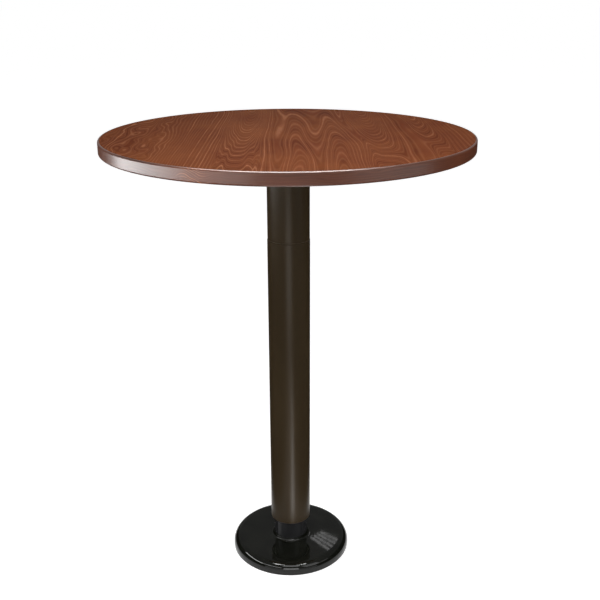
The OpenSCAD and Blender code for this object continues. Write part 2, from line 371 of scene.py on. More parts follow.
# %% Lamps
LAMPS = {
    "key_softbox": ((1.7, -1.9, 2.4), (0.0, 0.0, 0.7), 1.6, 1.4, 2.0),
    "overhead_softbox": ((0.0, -0.2, 2.7), (0.0, 0.0, 0.7), 1.5, 1.3, 0.6),
    "front_softbox": ((0.0, -1.0, 1.65), (0.0, -0.1, 0.75), 0.8, 0.4, 6.2),
    "left_window": ((-0.96, -0.20, 0.62), (-0.2, -0.17, 0.76), 0.84, 0.16, 13.6),
    "front_left_window": ((-0.636, -0.857, 0.64), (-0.026, -0.337, 0.76), 0.81, 0.11, 9.0),
    "right_window": ((0.80, -0.62, 0.62), (0.2, -0.2, 0.76), 0.9, 0.14, 1.9),
    "right_fill": ((1.5, -0.8, 0.30), (0.0, 0.0, 0.35), 0.9, 0.5, 4.4),
    "standing_strip": ((0.0, -0.92, 0.31), (0.0, 0.0, 0.47), 0.44, 0.36, 4.4),
    "lying_strip": ((0.075, -0.36, 0.04), (0.055, -0.27, 1.00), 0.055, 0.48, 11.0),
    "glare_card": ((-0.03, -0.22, 2.00), (-0.03, -0.25, 0.77), 1.3, 0.80, 36.0),
}
GLARE_ONLY = ("glare_card", "lying_strip", "standing_strip", "front_left_window")
NO_GLARE = ("right_fill",)


def new_lamp(name, width, height, brightness):
    """A rectangular lamp whose face has the given brightness, and that the camera doesn't see."""
    data = bpy.data.lights.new(name, "AREA")
    data.shape = "RECTANGLE"
    data.size = width
    data.size_y = height
    data.energy = math.pi * width * height * brightness
    lamp = add_object(name, data)
    lamp.visible_camera = False
    print("lamp", name, round(data.energy, 1), "W")
    return lamp


def place_lamp(name, spot, target, width, height, brightness):
    """Sets up a lamp at a spot, turned towards its target."""
    lamp = new_lamp(name, width, height, brightness)
    lamp.location = spot
    lamp.rotation_euler = (Vector(target) - Vector(spot)).to_track_quat("-Z", "Y").to_euler()
    lamp.visible_diffuse = name not in GLARE_ONLY
    lamp.visible_glossy = name not in NO_GLARE


for lamp_name, lamp_facts in LAMPS.items():
    place_lamp(lamp_name, *lamp_facts)

# %% [markdown]
# ## The slats behind the table
#
# The small striped patch of light on the floor cover is the mirror image of a slatted window high
# behind the table. Its place could be found by trial, but a mirror can be calculated: a sight line
# from the camera to each corner of the patch is followed down to the cover's flat, and from there,
# with its slope turned upwards, to an upright plane behind the table. Those four points are the
# corners of the window.

# %% Slats
COVER_FLAT = 0.020
PATCH_CORNERS = ((0.0377, -0.0202), (0.0610, 0.0005), (0.0927, -0.0306), (0.0674, -0.0716))
PATCH_MIDDLE = Vector((0.08, -0.04, COVER_FLAT))
SLAT_WALL = 1.3
SLAT_COUNT = 4
SLAT_FILL = 0.5
SLAT_BRIGHTNESS = 2.5


def mirrored_on_wall(x, y):
    """Follows a sight line to the cover's flat, and from there its mirror image to the wall."""
    spot = Vector((x, y, COVER_FLAT))
    ray = spot - Vector(CAMERA_SPOT)
    ray.z = -ray.z
    return spot + ray * ((SLAT_WALL - spot.y) / ray.y)


def make_slats():
    """Bright slats in a sloping window behind the table, which only the base mirrors."""
    left, top, right, bottom = [mirrored_on_wall(x, y) for x, y in PATCH_CORNERS]
    thickness = SLAT_FILL * (top - left).length / SLAT_COUNT
    for number in range(SLAT_COUNT):
        share = (number + 0.5) / SLAT_COUNT
        start = top.lerp(left, share)
        end = right.lerp(bottom, share)
        middle = (start + end) / 2
        slope = (end - start).normalized()
        towards_base = (PATCH_MIDDLE - middle).normalized()
        across = towards_base.cross(slope).normalized()
        turn = Matrix((slope, across, -towards_base)).transposed().to_4x4()
        slat = new_lamp("slat", (end - start).length, thickness, SLAT_BRIGHTNESS)
        slat.matrix_world = Matrix.Translation(middle) @ turn


make_slats()

# %% [markdown]
# ## The figure of the face veneer
#
# The face is one sheet of red-brown veneer cut across the growth rings at a flat angle, which gives
# cathedrals: nested arches along the grain, with straight lines between them. Painted one by one,
# the lines would look drawn. Instead the finish works out, for every point, how many rings deep the
# knife went: one curve across the sheet gives the rings, and a second says how fast they climb
# along the grain. Where the climb is towards the front, the arches point to the front. A line
# appears wherever the count passes a whole number, so wide and narrow lines, tips and straight runs
# all come from the same two curves. Slow noise bends the sheet a little, and at its left edge the
# grain runs wild.

# %% Ring count of the veneer
SHEET_WIDTH = 0.6
RINGS_ACROSS_TOP = 44.0
RINGS_ACROSS = [
    (-0.300, 40.0), (-0.252, 35.5), (-0.205, 32.0), (-0.178, 28.5), (-0.140, 20.5), (-0.108, 13.6),
    (-0.098, 9.4), (-0.086, 5.6), (-0.072, 3.4), (-0.058, 5.6), (-0.046, 9.8), (-0.036, 13.0),
    (-0.015, 14.8), (0.010, 13.2), (0.042, 14.8), (0.074, 13.0), (0.104, 16.0), (0.138, 12.6),
    (0.168, 17.6), (0.198, 20.0), (0.220, 18.2), (0.250, 22.0), (0.300, 28.0),
]
CLIMB_LIMIT = 60.0
RINGS_CLIMB = [
    (-0.300, 0.0), (-0.240, 6.0), (-0.200, -4.0), (-0.112, 0.0), (-0.094, -20.0), (-0.072, -38.0),
    (-0.050, -20.0), (-0.034, 0.0), (-0.015, 2.0), (0.010, 10.0), (0.042, 6.0), (0.074, 12.0),
    (0.104, 0.0), (0.138, -36.0), (0.168, -6.0), (0.198, 0.0), (0.220, -22.0), (0.250, -4.0),
    (0.300, 0.0),
]
CLIMB_FADE = 0.40
WILD_EDGE = -0.165
WILD_FADE = 0.04
WILD_RINGS = 1.8


def curve_over(across, points, low, high):
    """Reads a smooth curve through listed points, given as place and value."""
    node = put(across.id_data, "ShaderNodeFloatCurve")
    line = node.mapping.curves[0]
    while len(line.points) < len(points):
        line.points.new(0.5, 0.5)
    for point, (place, value) in zip(line.points, points):
        point.location = (place / SHEET_WIDTH + 0.5, (value - low) / (high - low))
    node.mapping.update()
    feed(node.inputs["Value"], span(across, -SHEET_WIDTH / 2, SHEET_WIDTH / 2))
    return span(node.outputs[0], 0.0, 1.0, low, high)


def ring_count(place):
    """The number of growth rings at a point of the veneer, with the grain along Y."""
    x, y, _ = coordinates(place)
    slow_bend = sway(place, (0.11, 0.50, 1.0), 0.009, shift=4.0)
    quick_bend = sway(place, (0.030, 0.16, 1.0), 0.0025, shift=9.0)
    across = plus(x, plus(slow_bend, quick_bend))
    flat_part = curve_over(across, RINGS_ACROSS, 0.0, RINGS_ACROSS_TOP)
    climb = curve_over(across, RINGS_CLIMB, -CLIMB_LIMIT, CLIMB_LIMIT)
    reach = maths("TANH", maths("DIVIDE", y, CLIMB_FADE))
    along = times(reach, CLIMB_FADE)
    drift = sway(place, (0.06, 0.30, 1.0), 0.5, shift=15.0)
    wild = span(x, WILD_EDGE, WILD_EDGE - WILD_FADE, 0.0, WILD_RINGS)
    curl = sway(place, (0.030, 0.10, 1.0), 1.0, shift=27.0)
    count = plus(maths("MULTIPLY_ADD", along, climb, flat_part), drift)
    return maths("MULTIPLY_ADD", wild, curl, count)


print("veneer sheet", SHEET_WIDTH, "m wide")

# %% [markdown]
# ## The lines of the rings
#
# Seen closely, each ring begins with a pale line that fades into darker late wood, and no two rings
# are equally strong. A cosine of the count rises once for each ring, a power makes it a narrow
# line, and each whole number draws a strength of its own. The lipping and the backing veneer use
# the same recipe.

# %% Ring lines
LINE_SHARPNESS = 6.0
FAINTEST_LINE = 0.15


def wave_of(count, waves_per_ring=1):
    """A wave from 0 to 1 that comes back a number of times for each ring."""
    turn = times(count, 2 * math.pi * waves_per_ring)
    return span(maths("COSINE", turn), -1.0, 1.0)


def ring_lines(count):
    """Pale lines, one for each ring, with a strength of its own for each ring."""
    wave = wave_of(count)
    line = maths("POWER", wave, LINE_SHARPNESS)
    ring = maths("ROUND", count)
    draw = put(ring.id_data, "ShaderNodeTexWhiteNoise", {"W": ring}, noise_dimensions="1D")
    luck = draw.outputs["Value"]
    strength = span(maths("POWER", luck, 1.5), 0.0, 1.0, FAINTEST_LINE, 1.0)
    return times(line, strength), wave


print("the faintest ring line has", FAINTEST_LINE, "of the full strength")

# %% [markdown]
# ## The face of the top
#
# Between the ring lines lie thinner ones, and over them fibres, about a millimetre wide and some
# centimetres long, short dark pores, and a slow drift of tone from red to orange-brown. The lines
# are clearer on the left of the sheet. Its front is painted a little paler than its back, and its
# left side a little darker: painted shade for how the lamps light the top. The lacquer is dull: it
# fills the grain, and gives only a faint sheen.

# %% Face veneer
WOOD_PALE = colour(0.362, 0.138, 0.064)
WOOD_MIDDLE = colour(0.160, 0.0395, 0.0134)
WOOD_DARK = colour(0.122, 0.0285, 0.0085)
WOOD_ORANGE = colour(0.216, 0.0625, 0.0192)
PORE_DARK = colour(0.05, 0.014, 0.008)
CLEAR_LEFT = 1.50
CLEAR_RIGHT = 0.78
THIN_LINES_PER_RING = 3
THIN_LINE_STRENGTH = 0.26
PORE_STRENGTH = 0.35
FACE_SHEEN = 0.008
FIBRE_DEPTH = 0.00003


def veneer_colour(place, fibre, pores):
    """The colour of the sheet, from its rings, its tone, its fibres and its pores, with painted
    shade towards the back and the left.
    """
    x, y, _ = coordinates(place)
    count = ring_count(place)
    lines, wave = ring_lines(count)
    patches = noise(place, (0.012, 0.07, 1.0), 2.0, 21.0)
    lines = times(lines, span(patches, 0.3, 0.7, 0.35, 1.0))
    lines = times(lines, span(x, -0.04, 0.02, CLEAR_LEFT, CLEAR_RIGHT))
    thin_lines = maths("POWER", wave_of(count, THIN_LINES_PER_RING), 3.0)
    thin_lines = times(thin_lines, THIN_LINE_STRENGTH)
    tone = noise(place, (0.09, 0.14, 1.0), 3.0, 33.0)
    ground = blend(span(wave, 0.0, 0.75), WOOD_DARK, WOOD_MIDDLE)
    ground = blend(span(tone, 0.40, 0.66, 0.0, 0.75), ground, WOOD_ORANGE)
    ground = blend(thin_lines, ground, WOOD_PALE)
    wood = blend(lines, ground, WOOD_PALE)
    # Painted shade: the top is darkened towards the back and on the left, standing for how the lamps
    # light it.
    painted_shade_to_back = span(y, -SHEET_WIDTH / 2, SHEET_WIDTH / 2, 0.99, 0.84)
    painted_shade_on_left = span(x, -SHEET_WIDTH / 2, 0.0, 0.80, 1.0)
    sheet = times(painted_shade_to_back, painted_shade_on_left)
    fibre_and_painted_shade = times(span(fibre, 0.25, 0.75, 0.84, 1.11), sheet)
    wood = shade(wood, fibre_and_painted_shade)
    return blend(times(pores, PORE_STRENGTH), wood, PORE_DARK)


def make_face_wood():
    """Figured veneer under dull lacquer."""
    finish, place = new_finish("face_veneer_lacquered")
    fibre = noise(place, (0.0009, 0.035, 1.0), 3.0)
    pores = span(noise(place, (0.00035, 0.005, 1.0), 1.0, 7.0), 0.66, 0.72)
    tone = veneer_colour(place, fibre, pores)
    grain = minus(fibre, times(pores, 0.6))
    roughness = span(fibre, 0.2, 0.8, 0.54, 0.62)
    return settle(finish, tone, roughness, FACE_SHEEN, relief=(grain, FIBRE_DEPTH))


dress(make_face_wood(), "face_veneer")

# %% [markdown]
# ## The lipping
#
# The edge is a strip of solid wood bent round the board, so its grain runs along the strip: the
# pattern is laid on a band unrolled from the rim, with the angle as its length. Where the strip's
# ends meet in a slanting scarf joint, the grain crosses it and the wood is warmer. It is sanded
# finer than the face and carries more lacquer, which is why it shows the windows of the room.

# %% Lipping
RIM_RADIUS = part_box("edge_lipping")[1].x
SCARF_PLACE = math.radians(-25.0) * RIM_RADIUS
SCARF_HALF = 0.025
SCARF_RINGS = 170.0
LIPPING_RINGS = 260.0
LIPPING_DARK = colour(0.066, 0.021, 0.011)
LIPPING_BROWN = colour(0.083, 0.026, 0.013)
LIPPING_RED = colour(0.115, 0.032, 0.013)
LIPPING_LINE = colour(0.14, 0.052, 0.028)
SCARF_BROWN = colour(0.170, 0.048, 0.020)
SCARF_LINE = colour(0.38, 0.145, 0.060)


def unrolled(place, radius):
    """The place on a band round the Z axis: along the band, out from the axis, and up."""
    x, y, z = coordinates(place)
    angle = maths("ARCTAN2", x, times(y, -1.0))
    away = maths("SQRT", maths("MULTIPLY_ADD", x, x, times(y, y)))
    return place_at(place.id_data, times(angle, radius), away, z)


def lipping_colour(band, fibre):
    """Fine lines along the strip, which slant and get warmer at the scarf joint."""
    along, _, up = coordinates(band)
    past_joint = minus(along, SCARF_PLACE)
    from_joint = maths("ABSOLUTE", past_joint)
    near_joint = span(from_joint, SCARF_HALF * 0.4, SCARF_HALF * 1.3, 1.0, 0.0)
    warmth = span(from_joint, SCARF_HALF * 0.5, SCARF_HALF * 3.6, 0.65, 0.0)
    slant = times(times(past_joint, SCARF_RINGS), near_joint)
    wander = sway(band, (0.09, 1.0, 0.02), 1.6, detail=2.0)
    count = plus(maths("MULTIPLY_ADD", up, LIPPING_RINGS, wander), slant)
    lines, wave = ring_lines(count)
    lines = times(lines, span(near_joint, 0.0, 1.0, 0.35, 1.4))
    tone = noise(band, (0.11, 1.0, 0.05), 1.0, 12.0)
    ground = blend(span(wave, 0.0, 0.8), LIPPING_DARK, LIPPING_BROWN)
    ground = blend(span(tone, 0.4, 0.65, 0.0, 0.6), ground, LIPPING_RED)
    ground = blend(warmth, ground, SCARF_BROWN)
    wood = blend(lines, ground, blend(near_joint, LIPPING_LINE, SCARF_LINE))
    return shade(wood, span(fibre, 0.25, 0.75, 0.86, 1.12))


def make_lipping_wood():
    """Straight-grained lipping under satin lacquer."""
    finish, place = new_finish("lipping_lacquered")
    band = unrolled(place, RIM_RADIUS)
    fibre = noise(band, (0.025, 1.0, 0.0006), 3.0)
    roughness = span(fibre, 0.2, 0.8, 0.335, 0.340)
    tone = lipping_colour(band, fibre)
    return settle(finish, tone, roughness, gloss=0.47, relief=(fibre, 0.000001))


lipping_wood = make_lipping_wood()
dress(lipping_wood, "edge_lipping")

# %% [markdown]
# ## The column's bronze coat
#
# Both tubes wear the same dark bronze powder coat. Powder melts into a skin with a faint orange
# peel about a millimetre across, and its pigment varies a little, with paler flecks. The sheen is
# satin, so a lamp in front draws a soft line down the tube instead of a sharp one. The coupling's
# shoulder shows in the seam as a thin edge, and its coat is painted paler: a painted highlight for
# the light that the edge catches.

# %% Bronze powder coat
BRONZE_FLECK = colour(0.060, 0.045, 0.026)


def make_bronze_coat(name, low, high):
    """Satin dark bronze powder coat."""
    finish, place = new_finish(name)
    skin = noise(place, (0.0011,) * 3, 2.0)
    cloud = noise(place, (0.05, 0.05, 0.16), 2.0, 5.0)
    fleck = noise(place, (0.0004,) * 3, 0.0, 8.0)
    coat = blend(span(cloud, 0.3, 0.7), low, high)
    coat = blend(span(fleck, 0.60, 0.75, 0.0, 0.35), coat, BRONZE_FLECK)
    roughness = span(cloud, 0.2, 0.8, 0.29, 0.33)
    return settle(finish, coat, roughness, gloss=0.12, relief=(skin, 0.00002))


bronze_coat = make_bronze_coat(
    "bronze_powder_coat", colour(0.0275, 0.0180, 0.0085), colour(0.0335, 0.0220, 0.0102)
)
# Painted highlight: the coupling's coat is paler, standing for light caught on the thin edge in the
# seam.
painted_highlight_coat = make_bronze_coat(
    "bronze_painted_highlight_edge", colour(0.0480, 0.0360, 0.0220), colour(0.0620, 0.0470, 0.0290)
)
dress(bronze_coat, "upper_tube", "lower_tube")
dress(painted_highlight_coat, "tube_coupling")

# %% [markdown]
# ## Gloss black enamel
#
# The post and the floor cover are enamelled black, and the cover is nearly a mirror. What shows is
# the room, so the paint's own detail is small: a very shallow orange peel that bends the
# reflections, and a film of fine dust on what faces up, in the roughness more than in the colour.
# The post's black is satin and painted lighter than the cover's: partly its own colour, partly a
# painted sheen for the light on the neck.

# %% Black enamel
def make_black_enamel(name, low, high, polish, gloss):
    """Gloss black enamel with a shallow orange peel and a trace of dust."""
    finish, place = new_finish(name)
    peel = noise(place, (0.006,) * 3, 1.0)
    dust = noise(place, (0.030,) * 3, 4.0, 3.0)
    normal = put(finish.node_tree, "ShaderNodeNewGeometry").outputs["Normal"]
    facing_up = coordinates(normal)[2]
    film = times(span(dust, 0.35, 0.75), span(facing_up, 0.2, 1.0))
    coat = blend(film, low, high)
    roughness = span(film, 0.0, 1.0, polish, polish + 0.02)
    return settle(finish, coat, roughness, gloss, relief=(peel, 0.000008))


black_enamel = make_black_enamel(
    "black_enamel_gloss", colour(0.0050, 0.0054, 0.0040), colour(0.0105, 0.0112, 0.0085),
    polish=0.028, gloss=0.32,
)
# The post's lighter black is partly a painted sheen, standing for light that the neck shows.
post_enamel_painted_sheen = make_black_enamel(
    "black_enamel_post_painted_sheen", colour(0.0180, 0.0180, 0.0190), colour(0.0220, 0.0220, 0.0230),
    polish=0.12, gloss=0.2,
)
dress(black_enamel, "floor_cover")
dress(post_enamel_painted_sheen, "base_post")

# %% [markdown]
# ## The hidden wood
#
# Under the face lie a fibreboard and, below it, a backing veneer that keeps the board flat. They
# show from below, and get the marks of how they were made: pressed chips, and rings that run
# straight because this sheet was cut square to them.

# %% Fibreboard and backing veneer
BOARD_DARK = colour(0.36, 0.24, 0.13)
BOARD_PALE = colour(0.56, 0.42, 0.26)
BACKING_DARK = colour(0.150, 0.070, 0.036)
BACKING_BROWN = colour(0.215, 0.108, 0.058)
BACKING_LINE = colour(0.31, 0.17, 0.095)
BACKING_FIBRE = colour(0.11, 0.05, 0.027)
BACKING_RINGS = 150.0


def make_core_board():
    """Medium board: pressed fibres and small chips."""
    finish, place = new_finish("core_fibreboard")
    chips = noise(place, (0.0022, 0.0022, 0.0007), 3.0)
    board = blend(span(chips, 0.3, 0.7), BOARD_DARK, BOARD_PALE)
    return settle(finish, board, roughness=0.85, relief=(chips, 0.0001))


def make_backing_wood():
    """Plain veneer with straight grain along Y, sealed but not lacquered."""
    finish, place = new_finish("backing_veneer_sealed")
    wander = sway(place, (0.08, 0.35, 1.0), 3.0, detail=2.0)
    across = coordinates(place)[0]
    lines, wave = ring_lines(maths("MULTIPLY_ADD", across, BACKING_RINGS, wander))
    fibre = noise(place, (0.0008, 0.03, 1.0), 3.0, 2.0)
    wood = blend(span(wave, 0.0, 0.8), BACKING_DARK, BACKING_BROWN)
    wood = blend(times(lines, 0.5), wood, BACKING_LINE)
    wood = blend(span(fibre, 0.3, 0.8, 0.0, 0.3), wood, BACKING_FIBRE)
    return settle(finish, wood, roughness=0.62, gloss=0.25, relief=(fibre, 0.00006))


dress(make_core_board(), "top_core")
dress(make_backing_wood(), "backing_veneer")

# %% [markdown]
# ## The metals
#
# The screws, the washers, the rod and its upper nut are zinc plated, which leaves a spangle of a
# few millimetres. The bulkhead, the weld and the lower nut are bare steel with mill scale, and the
# inserts in the board are turned brass. One recipe does for all: a metal whose tone varies over
# spots, and whose polish varies over finer ones.

# %% Metals
def make_metal(name, tone, spot_tone, spot_size, shine, unevenness):
    """Bare or plated metal whose tone and polish vary over spots of a given size."""
    finish, place = new_finish(name)
    spots = noise(place, (spot_size,) * 3, 3.0)
    fine = noise(place, (spot_size / 9,) * 3, 2.0, 6.0)
    skin = blend(span(spots, 0.35, 0.7), tone, spot_tone)
    roughness = span(fine, 0.25, 0.75, shine, shine + 0.12)
    return settle(finish, skin, roughness, relief=(fine, unevenness), more={"Metallic": 1.0})


zinc = make_metal(
    "zinc_plated_steel", colour(0.56, 0.58, 0.62), colour(0.66, 0.66, 0.66),
    spot_size=0.004, shine=0.24, unevenness=0.00001,
)
bare_steel = make_metal(
    "mill_steel", colour(0.23, 0.23, 0.235), colour(0.36, 0.355, 0.345),
    spot_size=0.012, shine=0.38, unevenness=0.00003,
)
brass = make_metal(
    "turned_brass", colour(0.60, 0.42, 0.16), colour(0.70, 0.52, 0.24),
    spot_size=0.003, shine=0.22, unevenness=0.00001,
)
dress(zinc, "spider_screws", "spider_washers", "tie_rod", "tie_rod_nut", "tie_rod_washer")
dress(bare_steel, "column_bulkhead", "rod_anchor_nut", "post_weld")
dress(brass, "threaded_inserts")

# %% [markdown]
# ## Nylon and dull paints
#
# The ring that centres the column is nylon, turned on a lathe, so it has fine marks round it and
# lets a little light in. The spider wears thin black paint over the grain of its casting, and the
# floor plate a smoother dull primer: one recipe, with a larger and a smaller grain.

# %% Nylon and dull paints
NYLON_SHADE = colour(0.66, 0.64, 0.56)
NYLON_PALE = colour(0.78, 0.76, 0.69)


def make_nylon():
    """Natural nylon with the fine turning marks of a lathe."""
    finish, place = new_finish("nylon_turned")
    marks = noise(place, (0.02, 0.02, 0.0004), 1.0)
    tone = blend(marks, NYLON_SHADE, NYLON_PALE)
    inside = {"Subsurface Weight": 0.15, "Subsurface Radius": (0.004, 0.004, 0.003)}
    return settle(finish, tone, roughness=0.42, relief=(marks, 0.00003), more=inside)


def make_dull_paint(name, low, high, grain, roughness, depth):
    """A dull coat over a surface whose grain has the given size."""
    finish, place = new_finish(name)
    skin = noise(place, (grain,) * 3, 4.0)
    patches = noise(place, (grain * 18,) * 3, 3.0, 11.0)
    coat = blend(span(patches, 0.3, 0.7), low, high)
    sheen = span(skin, 0.2, 0.8, roughness - 0.08, roughness + 0.08)
    return settle(finish, coat, sheen, gloss=0.35, relief=(skin, depth))


cast_paint = make_dull_paint(
    "painted_casting", colour(0.012, 0.012, 0.012), colour(0.022, 0.021, 0.020),
    grain=0.0016, roughness=0.52, depth=0.00022,
)
primer = make_dull_paint(
    "grey_primer", colour(0.045, 0.046, 0.050), colour(0.070, 0.071, 0.074),
    grain=0.0010, roughness=0.58, depth=0.00005,
)
dress(make_nylon(), "guide_ring")
dress(cast_paint, "spider")
dress(primer, "floor_plate")

# %% [markdown]
# ## Helpers for Geometry Nodes
#
# Some pieces are made by turning or repeating one outline, and Geometry Nodes say that directly. A
# recipe starts as a tree with a named input for every size. It ends with its instances made real
# and its finish set. Then it is run once, on an empty mesh, and only the result is kept: a plain
# mesh that rides on its body and stands for the piece of the construction that it details.

# %% Starting and running a recipe
def mm(length):
    """A length in millimetres, given in metres."""
    return length * 0.001


def geometry(tree, kind, inputs=None, **settings):
    """Adds a step of Geometry Nodes, named without its prefix, and gives its first output."""
    return put(tree, "GeometryNode" + kind, inputs, **settings).outputs[0]


def new_recipe(name, sizes):
    """Starts a tree with one named input for each size, and gives the inputs as sockets."""
    tree = bpy.data.node_groups.new(name, "GeometryNodeTree")
    for label, value in sizes.items():
        kind = "NodeSocketInt" if isinstance(value, int) else "NodeSocketFloat"
        tree.interface.new_socket(name=label, in_out="INPUT", socket_type=kind)
    tree.interface.new_socket(name="Geometry", in_out="OUTPUT", socket_type="NodeSocketGeometry")
    entry = put(tree, "NodeGroupInput")
    return tree, {label: entry.outputs[label] for label in sizes}


def evaluated_mesh(holder):
    """The plain mesh that a holder's modifiers give, and the holder is removed."""
    evaluated = holder.evaluated_get(bpy.context.evaluated_depsgraph_get())
    mesh = bpy.data.meshes.new_from_object(evaluated)
    bpy.data.objects.remove(holder)
    return mesh


def run_recipe(tree, sizes, shape, finish):
    """Ends a tree with real instances and a finish, runs it once and gives the plain mesh."""
    real = geometry(tree, "RealizeInstances", {0: shape})
    done = geometry(tree, "SetMaterial", {"Geometry": real, "Material": finish})
    put(tree, "NodeGroupOutput", {"Geometry": done})
    holder = add_object(tree.name, bpy.data.meshes.new(tree.name))
    modifier = holder.modifiers.new(tree.name, "NODES")
    modifier.node_group = tree
    for item in tree.interface.items_tree:
        if item.in_out == "INPUT":
            modifier[item.identifier] = sizes[item.name]
    return evaluated_mesh(holder)


def stand_for(name, mesh, body, slot, *replaced):
    """Adds a detailed piece that rides on a body in place of pieces of the construction."""
    piece = add_object(name, mesh)
    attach(piece, body)
    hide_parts(*replaced)
    print(name, "has", len(mesh.polygons), "faces and stands for", ", ".join(replaced))


print("a recipe takes its sizes in metres:", mm(1000.0), "for 1000 mm")

# %% [markdown]
# ## Sections and turning
#
# A turned piece is its section carried round a circle. The section is a closed line through a few
# corners, each rounded by its own radius, as on a drawing. It is swept with Curve to Mesh rather
# than spun in mesh code, so that its sizes stay inputs of the tree.

# %% Sections and turning
def pick(kind, number, values):
    """Gives every point the value that its number names in a list."""
    node = put(number.id_data, "GeometryNodeIndexSwitch", {"Index": number}, data_type=kind)
    while len(node.index_switch_items) < len(values):
        node.index_switch_items.new()
    for place, value in enumerate(values):
        feed(node.inputs[place + 1], value)
    return node.outputs[0]


def closed_line(tree, corners):
    """A closed curve through corners given as distance outwards and depth downwards."""
    loop = geometry(tree, "MeshCircle", {"Vertices": len(corners)})
    line = geometry(tree, "MeshToCurve", {0: loop})
    number = geometry(tree, "InputIndex")
    spots = pick("VECTOR", number, [place_at(tree, *corner) for corner in corners])
    return geometry(tree, "SetPosition", {"Geometry": line, "Position": spots})


def rounded_section(tree, corners, steps):
    """A closed curve through corners, each given with the radius that rounds it."""
    number = geometry(tree, "InputIndex")
    rounding = {
        "Curve": closed_line(tree, [spot for spot, _ in corners]),
        "Radius": pick("FLOAT", number, [radius for _, radius in corners]),
        "Count": steps,
        "Limit Radius": True,
    }
    return geometry(tree, "FilletCurve", rounding, mode="POLY")


def lifted(tree, shape, height):
    """A shape moved up by a height."""
    inputs = {"Geometry": shape, "Offset": place_at(tree, z=height)}
    return geometry(tree, "SetPosition", inputs)


def turned(tree, section, radius, height, steps, size=1.0):
    """Carries a section round the column, at a radius and a height, with a size that may vary."""
    round_it = {"Resolution": steps, "Radius": radius}
    circle = geometry(tree, "CurvePrimitiveCircle", round_it)
    circle = geometry(tree, "SetCurveNormal", {"Curve": circle}, mode="Z_UP")
    circle = lifted(tree, circle, height)
    sweep = {"Curve": circle, "Profile Curve": section, "Scale": size}
    skin = geometry(tree, "CurveToMesh", sweep)
    return geometry(tree, "SetShadeSmooth", {"Geometry": skin})


print("helpers for turned pieces are ready")

# %% [markdown]
# ## The spun cover
#
# The floor cover is spun: a disc of sheet is pressed over a turning form, which leaves one even
# thickness, round shoulders and a lip that is swept up along the post. Four of its section's twelve
# corners have no radius. They only stand close to the curves, so that the flat between them stays
# flat in its reflections.

# %% Spun floor cover
COVER_SIZES = {
    "Bore Radius": mm(30.4), "Rim Radius": mm(107.0), "Height": mm(20.0),
    "Lip Height": mm(6.0), "Thickness": mm(1.2), "Shoulder Radius": mm(14.0),
    "Sweep Radius": mm(4.0), "Edge Radius": mm(0.5), "Support": mm(1.5),
    "Steps Round": 224, "Steps Per Curve": 14,
}


def cover_corners(size):
    """The corners of the section, outwards from the bore and down from the lip, with their radii."""
    skin = size["Thickness"]
    edge = size["Edge Radius"]
    top = size["Lip Height"]
    underside = plus(top, skin)
    foot = plus(top, size["Height"])
    width = minus(size["Rim Radius"], size["Bore Radius"])
    inside = minus(width, skin)
    under_sweep = plus(size["Sweep Radius"], skin)
    under_shoulder = minus(size["Shoulder Radius"], skin)
    near = plus(under_sweep, size["Support"])
    far = minus(inside, size["Shoulder Radius"])
    return [
        ((0.0, 0.0), edge), ((skin, 0.0), edge), ((skin, top), size["Sweep Radius"]),
        ((near, top), 0.0), ((far, top), 0.0), ((width, top), size["Shoulder Radius"]),
        ((width, foot), edge), ((inside, foot), edge), ((inside, underside), under_shoulder),
        ((far, underside), 0.0), ((near, underside), 0.0), ((0.0, underside), under_sweep),
    ]


def make_cover():
    """The spun floor cover, turned from its section."""
    tree, size = new_recipe("spun_cover", COVER_SIZES)
    section = rounded_section(tree, cover_corners(size), size["Steps Per Curve"])
    lip_top = plus(size["Height"], size["Lip Height"])
    cover = turned(tree, section, size["Bore Radius"], lip_top, size["Steps Round"])
    return run_recipe(tree, COVER_SIZES, cover, black_enamel)


stand_for("spun_floor_cover", make_cover(), "cover", "black_enamel", "floor_cover")

# %% [markdown]
# ## The lipping, turned again
#
# The line of light along the arris is the sharpest thing in the picture, and on the flat facets of
# the construction's mesh it breaks into dashes. A subdivided copy would swell, so the same strip
# is turned from its section in finer steps. Two corners without a radius stand close to the
# arrises, and keep the face between them flat.

# %% Turned lipping
LIPPING_SIZES = {
    "Bore Radius": mm(297.0), "Thickness": mm(3.0), "Height": mm(20.0),
    "Top": mm(770.0), "Arris Radius": mm(2.5), "Glue Line": mm(0.15),
    "Support": mm(0.1), "Steps Round": 480, "Steps Per Curve": 8,
}


def make_lipping():
    """The strip round the top, turned from its section."""
    tree, size = new_recipe("turned_lipping", LIPPING_SIZES)
    wide, high = size["Thickness"], size["Height"]
    arris, glue = size["Arris Radius"], size["Glue Line"]
    near = plus(arris, size["Support"])
    far = minus(high, near)
    corners = [
        ((0.0, 0.0), glue), ((wide, 0.0), arris), ((wide, near), 0.0),
        ((wide, far), 0.0), ((wide, high), arris), ((0.0, high), glue),
    ]
    section = rounded_section(tree, corners, size["Steps Per Curve"])
    strip = turned(tree, section, size["Bore Radius"], size["Top"], size["Steps Round"])
    return run_recipe(tree, LIPPING_SIZES, strip, lipping_wood)


stand_for("lipping_turned", make_lipping(), "table", "lipping_wood", "edge_lipping")

# %% [markdown]
# ## The weld bead
#
# The post is joined to the floor plate by one bead laid by hand. A welder moves the arc forward in
# small steps, and every step leaves a ripple. The section is a corner strip with a rounded face,
# and its size swells and shrinks a little along the way: a sine gives the steps, and some noise
# keeps them from being equal.

# %% Weld bead
WELD_SIZES = {
    "Post Radius": mm(30.0), "Plate Top": mm(6.0), "Leg": mm(5.0),
    "Ripple Share": 0.09, "Ripples": 84, "Steps Round": 672,
}
WELD_FACE_STEPS = 6
WELD_FULLNESS = 0.14
WELD_WAVE = 0.3
WELD_NOISE = {"Scale": 160.0, "Detail": 1.0}


